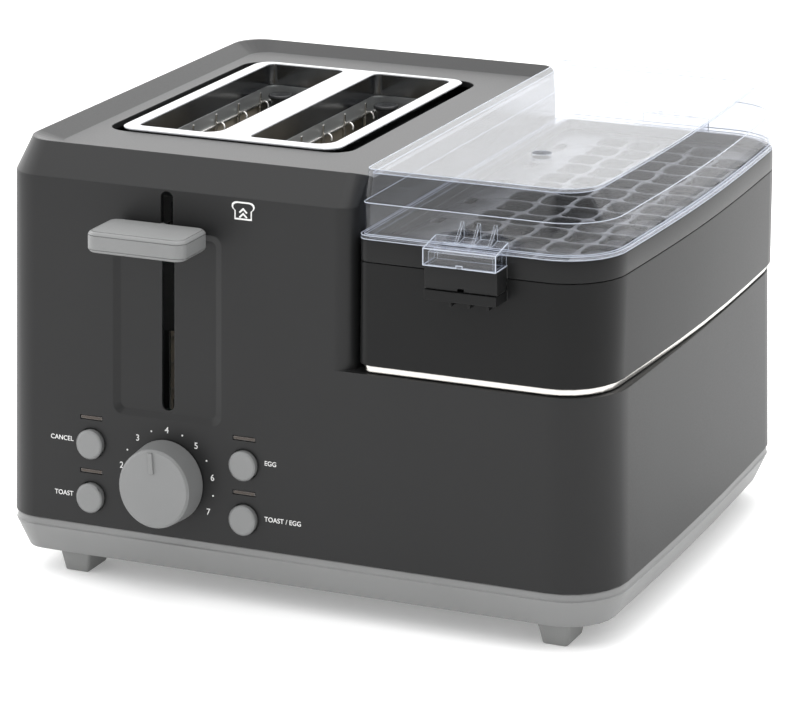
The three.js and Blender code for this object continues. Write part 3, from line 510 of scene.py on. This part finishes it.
# ---- Browning knob and buttons ------------------------------------------------------------
# The round knob has a raised pointer on its face and pushes onto the shaft of the browning
# control. The four round buttons have a small turned edge.
dress("browning_knob", control_grey, 0)
dress("knob_shaft", plate_steel, 0.3 * MM)
for button in ("cancel", "toast", "egg", "toast_egg"):
    dress(f"button_{button}", control_grey, 0.4 * MM, 30, 3)

# ---- Cord gland ---------------------------------------------------------------------------
# A black bush in the lower back wall takes the mains lead, which is left off here.
dress("cord_gland", nylon, 0.4 * MM)

# ---- Steaming vessel ----------------------------------------------------------------------
# The open-bottomed vessel stands on the heating plate and holds the steam. It is glossier than
# the housing, with a lifting lug at each end that three short ribs stiffen from below.
vessel_plastic = make_finish("charcoal_vessel_plastic", (0.01, 0.0102, 0.0103), 0.35,
                             patchy=0.1, edge_highlight=0.05, shine=0.13)
dress("steaming_vessel", vessel_plastic, 0.45 * MM, 30, 3)
vessel_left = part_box("steaming_vessel")[0].x
lid_low, lid_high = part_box("lid")
TAB_REACH = 13 * MM
VESSEL_FLARE = 1.3 * MM  # how far the vessel's left foot stands out past its rim
TAB_ALONG = 55.1 * MM  # from the vessel's left rim to the middle of the tabs and lugs
tab_middle = (vessel_left + VESSEL_FLARE) + TAB_ALONG
tab_half = 17.4 * MM
wall_front, wall_back = body_low.y + 0.5 * MM, body_high.y - 0.5 * MM


def box_mesh(x0, x1, y0, y1, z0, z1, edge=0.3 * MM):
    """A block with its edges broken."""
    made = bmesh.new()
    bmesh.ops.create_cube(made, size=1)
    for v in made.verts:
        v.co = Vector((x1 if v.co.x > 0 else x0, y1 if v.co.y > 0 else y0,
                       z1 if v.co.z > 0 else z0))
    bmesh.ops.bevel(made, geom=made.edges[:], offset=edge, segments=2, affect="EDGES",
                    profile=0.6)
    out = bpy.data.meshes.new("block")
    made.to_mesh(out)
    made.free()
    return out


LUG_FOOT = 154.2 * MM
stubs = []
for dx in (-9, 0, 9):
    for wall, out in ((wall_front, -1), (wall_back, 1)):
        x = tab_middle + 2 * MM + dx * MM
        near, far = sorted((wall - out * 1 * MM, wall + out * 7 * MM))
        stubs.append(box_mesh(x - 0.6 * MM, x + 0.6 * MM, near, far,
                              LUG_FOOT - 3.6 * MM, LUG_FOOT + 0.5 * MM, 0.2 * MM))
add_piece("vessel_lug_ribs", merged(stubs), vessel_plastic, "vessel")

# ---- Egg rack -----------------------------------------------------------------------------
# A flat dark plate with eight round holes lies on the ledge inside the vessel and holds eggs.
dress("egg_rack", nylon, 0.5 * MM)

# ---- Grid tray ----------------------------------------------------------------------------
# A shallow charcoal tray for muffins closes the vessel. Its floor is a lattice of wavy bars
# with rounded cells, beside a plain border that has small drain slots.
TRAY_BOTTOM, TRAY_TOP = 164.15 * MM, 173.85 * MM
FLOOR_LOW, FLOOR_TOP = 166.5 * MM, 169 * MM
COLUMNS, ROWS = 5, 12
BAR, CELL_CORNER = 2.6 * MM, 3.2 * MM
WAVE = 1.25 * MM
TRAY_FOOT = 159 * MM  # bottom of the rim inside the vessel and of the lugs
x_left, x_right = lid_low.x, lid_high.x


def steamer_outline(left, ends=None, right=None, r=None, s=None, bow=3 * MM):
    """The steamer's plan, moved in at its left, ends and right: small left corners of radius s,
    big right ones of radius r, and a bowed right side."""
    steps, sides = 10, 14
    ends, right = left if ends is None else ends, left if right is None else right
    x0, x1 = x_left + left, x_right - right - bow
    y0, y1 = wall_front + ends, wall_back - ends
    r = r or 29 * MM - right
    s = s or max(5 * MM - left, 1.5 * MM)
    loop = rounded_loop(x0, x1, y0, y1, (s, r, r, s), steps)
    bowed = [(x1 + bow * math.sin(math.pi * k / sides), y0 + r + (y1 - y0 - 2 * r) * k / sides)
             for k in range(1, sides)]
    return loop[:2 * (steps + 1)] + bowed + loop[2 * (steps + 1):]


def cut_plate(outlines, low, high, edge=0.35 * MM):
    """A flat plate from an outline and its holes, with rounded edges top and bottom."""
    curve = bpy.data.curves.new("plate", "CURVE")
    curve.dimensions = "2D"
    curve.fill_mode = "BOTH"
    curve.extrude = (high - low) / 2 - edge
    curve.bevel_depth = edge
    curve.bevel_resolution = 2
    curve.offset = -edge
    for outline in outlines:
        line = curve.splines.new("POLY")
        line.points.add(len(outline) - 1)
        for point, (x, y) in zip(line.points, outline):
            point.co = (x, y, 0, 1)
        line.use_cyclic_u = True
    plate = bpy.data.meshes.new_from_object(bpy.data.objects.new("plate", curve))
    plate.transform(Matrix.Translation((0, 0, (low + high) / 2)))
    return plate


grid_x = (x_left + 0.22 * (x_right - x_left), x_right - 12.5 * MM)
grid_y = (body_low.y + 13 * MM, body_high.y - 13 * MM)
step_x = (grid_x[1] - grid_x[0]) / COLUMNS
step_y = (grid_y[1] - grid_y[0]) / ROWS
cells = []
for i in range(COLUMNS):
    for j in range(ROWS):
        if i == COLUMNS - 1 and j in (0, ROWS - 1):
            continue
        x0, y0 = grid_x[0] + i * step_x + BAR / 2, grid_y[0] + j * step_y + BAR / 2
        x1, y1 = x0 + step_x - BAR, y0 + step_y - BAR
        corners = rounded_loop(x0, x1, y0, y1, [CELL_CORNER] * 4, 3)
        loop = []
        for (ax, ay), (bx, by) in zip(corners, corners[1:] + corners[:1]):
            pieces = max(1, round(math.hypot(bx - ax, by - ay) / (1.8 * MM)))
            loop += [(ax + (bx - ax) * n / pieces, ay + (by - ay) * n / pieces)
                     for n in range(pieces)]
        cells.append([(x + WAVE * math.sin(math.pi * (y - grid_y[0]) / step_y),
                       y + WAVE * math.sin(math.pi * (x - grid_x[0]) / step_x))
                      for x, y in loop])
DRAIN_IN, DRAIN_WIDE, DRAIN_LONG = 10.5 * MM, 5 * MM, 10 * MM
drain_x = (x_left + DRAIN_IN, x_left + DRAIN_IN + DRAIN_WIDE)
drains = [rounded_loop(*drain_x, y, y + DRAIN_LONG, [2 * MM] * 4, 4)
          for y in [grid_y[0] + k * 2 * step_y + 6 * MM for k in range(ROWS // 2)]]

tray_parts = [
    cut_plate([steamer_outline(0), steamer_outline(2.6 * MM)], TRAY_BOTTOM, TRAY_TOP),
    cut_plate([steamer_outline(1 * MM), *cells, *drains], FLOOR_LOW, FLOOR_TOP, 0.5 * MM),
    cut_plate([steamer_outline(4.5 * MM), steamer_outline(6.3 * MM)], TRAY_FOOT,
              FLOOR_LOW + 0.5 * MM),
]
NOTCH = (1.5 * MM, 1.3 * MM)
LUG_LOW, LUG_HIGH = TRAY_FOOT, 169.3 * MM
x0, x1 = tab_middle - tab_half, tab_middle + tab_half
lug_face = [(x0, LUG_LOW), (tab_middle - NOTCH[0], LUG_LOW),
            (tab_middle - NOTCH[0], LUG_LOW + NOTCH[1]),
            (tab_middle + NOTCH[0], LUG_LOW + NOTCH[1]), (tab_middle + NOTCH[0], LUG_LOW),
            (x1, LUG_LOW), (x1, LUG_HIGH), (x0, LUG_HIGH)]
for wall, out in ((wall_front, -1), (wall_back, 1)):
    tip = wall + out * (TAB_REACH - 1.1 * MM)
    near, far = sorted((wall - out * 1 * MM, tip))
    lug = cut_plate([lug_face], -far, -near, 0.4 * MM)
    lug.transform(Matrix.Rotation(math.pi / 2, 4, "X"))
    tray_parts.append(lug)
tray_plastic = make_finish("charcoal_tray_plastic", (0.012, 0.0122, 0.0124), 0.3, patchy=0.1,
                           edge_highlight=0.1, shine=0.15)
tray = add_piece("muffin_grid_tray", merged(tray_parts), tray_plastic, "grid_tray")
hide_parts("grid_tray")

# ---- Lid ----------------------------------------------------------------------------------
# A clear SAN moulding over the tray, with a flange round its foot, sloping shoulders, two vents
# in its top and a hollow tab at each end for lifting. Its thick edges are painted faintly blue:
# an opaque pale blue shader mixed in along each rounded edge is a painted highlight.
clear_plastic = bpy.data.materials.new("clear_lid_plastic")
clear_plastic.use_nodes = True
new, wire = clear_plastic.node_tree.nodes.new, clear_plastic.node_tree.links.new
painted_rim_highlight = clear_plastic.node_tree.nodes["Principled BSDF"]
painted_rim_highlight.inputs["Base Color"].default_value = (0.55, 0.6, 0.68, 1)
painted_rim_highlight.inputs["Roughness"].default_value = 0.25
see_through = new("ShaderNodeBsdfTransparent")
see_through.inputs["Color"].default_value = (0.875, 0.885, 0.91, 1)
mirror = new("ShaderNodeBsdfGlossy")
mirror.inputs["Color"].default_value = (1, 1, 1, 1)
place = new("ShaderNodeTexCoord")
haze = new("ShaderNodeTexNoise")
haze.inputs["Scale"].default_value = 60
haze.inputs["Detail"].default_value = 6
wire(place.outputs["Object"], haze.inputs["Vector"])
gloss = new("ShaderNodeMapRange")
gloss.inputs["From Min"].default_value = 0.35
gloss.inputs["To Min"].default_value = 0.02
gloss.inputs["To Max"].default_value = 0.1
wire(haze.outputs["Fac"], gloss.inputs["Value"])
wire(gloss.outputs["Result"], mirror.inputs["Roughness"])
flow = new("ShaderNodeBump")
flow.inputs["Strength"].default_value = 0.15
flow.inputs["Distance"].default_value = 0.0002
wire(haze.outputs["Fac"], flow.inputs["Height"])
wire(flow.outputs["Normal"], mirror.inputs["Normal"])
skim, steep, share = new("ShaderNodeLayerWeight"), new("ShaderNodeMath"), new("ShaderNodeMath")
skim.inputs["Blend"].default_value = 0.5
steep.operation = "POWER"
steep.inputs[1].default_value = 5
share.operation = "MULTIPLY_ADD"
share.inputs[1].default_value = 0.42
share.inputs[2].default_value = 0.04
wire(skim.outputs["Facing"], steep.inputs[0])
wire(steep.outputs["Value"], share.inputs[0])
sheet_shader = new("ShaderNodeMixShader")
wire(share.outputs["Value"], sheet_shader.inputs[0])
wire(see_through.outputs["BSDF"], sheet_shader.inputs[1])
wire(mirror.outputs["BSDF"], sheet_shader.inputs[2])
# Along the rounded edges an opaque pale blue shader is mixed in over the clear one: a painted
# highlight.
soft, turned = edge_finder(new, wire, 0.00055, 6)
painted_rim_mask = new("ShaderNodeMapRange")
painted_rim_mask.inputs["From Min"].default_value = 0.99
painted_rim_mask.inputs["From Max"].default_value = 0.87
painted_rim_mask.inputs["To Min"].default_value = 0.004
painted_rim_mask.inputs["To Max"].default_value = 0.9
wire(turned.outputs["Value"], painted_rim_mask.inputs["Value"])
lid_shader = new("ShaderNodeMixShader")
wire(painted_rim_mask.outputs["Result"], lid_shader.inputs[0])
wire(sheet_shader.outputs["Shader"], lid_shader.inputs[1])
wire(painted_rim_highlight.outputs["BSDF"], lid_shader.inputs[2])
wire(lid_shader.outputs["Shader"],
     clear_plastic.node_tree.nodes["Material Output"].inputs["Surface"])
dress("lid", clear_plastic, 0)

# Every moulded edge has a small radius. The fine grey line along it is a painted highlight,
# laid on as thin pale wire.
lid_highlight_paint = make_finish("lid_edge_radius", (0.5, 0.54, 0.62), 0.18, patchy=0.02, edge_highlight=0)
EDGE_WIRE, TAB_WIRE = 0.22 * MM, 0.3 * MM
for name, z, outline in (
        ("flange_foot", 174.35, steamer_outline(0)),
        ("flange_top", 176, steamer_outline(0)),
        ("wall_foot", 176.3, steamer_outline(1.5 * MM)),
        ("shoulder", 190.4, steamer_outline(1.5 * MM)),
        ("roof", 204.55, steamer_outline(1.6 * MM, 6.1 * MM, 8.9 * MM, 19 * MM, 4 * MM)),
        ("roof_inside", 202.5, steamer_outline(3.7 * MM, 7.5 * MM, 10.3 * MM, 17.5 * MM,
                                               2 * MM))):
    line = [(x, y, z * MM) for x, y in outline]
    add_piece(f"lid_edge_{name}", bent_wire([line], EDGE_WIRE, True), lid_highlight_paint, "lid")
LID_TAB_REACH = 13.4 * MM
LID_TAB_LOW, LID_TAB_HIGH, LID_TAB_RISE = 169.75 * MM, 177.1 * MM, 2.3 * MM
LID_NOTCH = (1.5 * MM, 1.2 * MM)
sides = (tab_middle - tab_half, tab_middle + tab_half)
# The tabs' edges carry the same painted highlight, as slightly thicker pale wire.
tab_edge_highlights = []
for wall, out in ((wall_front, -1), (wall_back, 1)):
    tip, heel = wall + out * LID_TAB_REACH, wall - out * 1 * MM
    high = LID_TAB_HIGH + LID_TAB_RISE
    tab_edge_highlights.append([(sides[0], heel, high), (sides[0], tip, LID_TAB_HIGH),
                      (sides[1], tip, LID_TAB_HIGH), (sides[1], heel, high)])
    notch = [(tab_middle + x * LID_NOTCH[0], tip, LID_TAB_LOW + z * LID_NOTCH[1])
             for x, z in ((-1, 0), (-1, 1), (1, 1), (1, 0))]
    tab_edge_highlights.append([(sides[0], wall, LID_TAB_LOW), (sides[0], tip, LID_TAB_LOW), *notch,
                      (sides[1], tip, LID_TAB_LOW), (sides[1], wall, LID_TAB_LOW)])
    for x in sides:
        tab_edge_highlights.append([(x, tip, LID_TAB_LOW), (x, tip, LID_TAB_HIGH)])
add_piece("lid_tab_edge_highlights", bent_wire(tab_edge_highlights, TAB_WIRE), lid_highlight_paint, "lid")

# The thumb hollow pressed in the top of each tab reads as a low oval bead.
THUMB = (11 * MM, 3.2 * MM)
for name, wall, out in (("front", wall_front, -1), ("rear", wall_back, 1)):
    oval = [(tab_middle + THUMB[0] * math.cos(a), wall + out * (6.6 * MM)
             + THUMB[1] * math.sin(a),
             177.6 * MM + 0.18 * (6.4 * MM - THUMB[1] * -out * math.sin(a)))
            for a in [2 * math.pi * n / 48 for n in range(48)]]
    add_piece(f"lid_thumb_bead_{name}", bent_wire([oval], 0.35 * MM, True), clear_plastic,
              "lid")

# ---- Floor --------------------------------------------------------------------------------
# A wide sheet of matt white paper, with just enough tooth to be a real surface.
floor_paper = make_finish("white_paper", (0.86, 0.86, 0.86), 0.8, grain=0.002, patchy=0.01,
                          edge_highlight=0)
paper = floor_paper.node_tree.nodes["Principled BSDF"]
paper.inputs["Emission Color"].default_value = (1, 1, 1, 1)
paper.inputs["Emission Strength"].default_value = 0.22
sheet = bpy.data.meshes.new("floor")
FLOOR_HALF = 9
sheet.from_pydata([(x * FLOOR_HALF, y * FLOOR_HALF, 0)
                   for x, y in ((-1, -1), (1, -1), (1, 1), (-1, 1))], [], [(0, 1, 2, 3)])
sheet.materials.append(floor_paper)
floor = bpy.data.objects.new("floor", sheet)
bpy.context.collection.objects.link(floor)

# ---- Light --------------------------------------------------------------------------------
# A white room: brightest on the left, then behind, and dimmest in front. A big soft lamp hangs
# overhead and a weaker one stands at the right.
ROOM_EVEN = 0.32
LAMP_AIM = Vector((0, 0, 0.1))
room = bpy.data.worlds.new("room")
bpy.context.scene.world = room
room.use_nodes = True
new, wire = room.node_tree.nodes.new, room.node_tree.links.new
way = new("ShaderNodeTexCoord")
parts = new("ShaderNodeSeparateXYZ")
wire(way.outputs["Generated"], parts.inputs["Vector"])
total = None
for axis, side, share in (("X", 1, 0.25), ("X", -1, 2.4), ("Y", 1, 1.5), ("Z", 1, 0.45)):
    only = new("ShaderNodeMath")
    only.operation = "MAXIMUM"
    only.inputs[1].default_value = 0
    facing = new("ShaderNodeMath")
    facing.operation = "MULTIPLY"
    facing.inputs[1].default_value = side
    wire(parts.outputs[axis], facing.inputs[0])
    wire(facing.outputs["Value"], only.inputs[0])
    add = new("ShaderNodeMath")
    add.operation = "MULTIPLY_ADD"
    add.inputs[1].default_value = share
    wire(only.outputs["Value"], add.inputs[0])
    if total is None:
        add.inputs[2].default_value = ROOM_EVEN
    else:
        wire(total, add.inputs[2])
    total = add.outputs["Value"]
wire(total, room.node_tree.nodes["Background"].inputs["Strength"])
room.node_tree.nodes["Background"].inputs["Color"].default_value = (1, 1, 1, 1)
for name, place, wide, high, power in (("overhead", (0.25, -0.2, 1.7), 1.4, 1.4, 16),
                                       ("right", (1.7, 0.5, 0.9), 1.2, 1.2, 5)):
    lamp = bpy.data.lights.new(name, "AREA")
    lamp.shape = "RECTANGLE"
    lamp.size, lamp.size_y = wide, high
    lamp.energy = power
    holder = bpy.data.objects.new(name, lamp)
    holder.location = place
    holder.rotation_mode = "QUATERNION"
    holder.rotation_quaternion = (LAMP_AIM - Vector(place)).to_track_quat("-Z", "Y")
    holder.visible_camera = False
    bpy.context.collection.objects.link(holder)
bpy.context.scene.view_settings.view_transform = "Standard"
